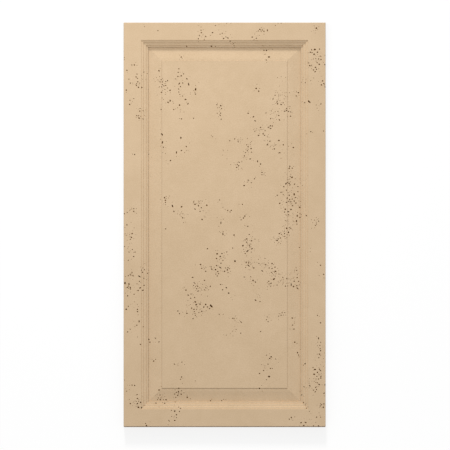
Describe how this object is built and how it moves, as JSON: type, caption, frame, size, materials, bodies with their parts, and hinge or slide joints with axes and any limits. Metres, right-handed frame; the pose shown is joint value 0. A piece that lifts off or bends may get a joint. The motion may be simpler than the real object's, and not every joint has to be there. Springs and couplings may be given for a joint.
{
  "type": "concrete wall panel",
  "caption": "Rectangular cast concrete wall panel with a flat outer rail, a mitred moulded border and a raised flat field, plain back.",
  "frame": {"origin": "centre of the plain back face, which the panel lies on", "axes": "+X along the width, +Y along the length towards the edge that is uppermost on the wall, +Z out of the back through the moulded face"},
  "size_m": [0.6, 1.2, 0.03],
  "materials": {
    "concrete": "matte"
  },
  "bodies": {
    "root": {"wall_panel": "concrete"}
  },
  "joints": []
}
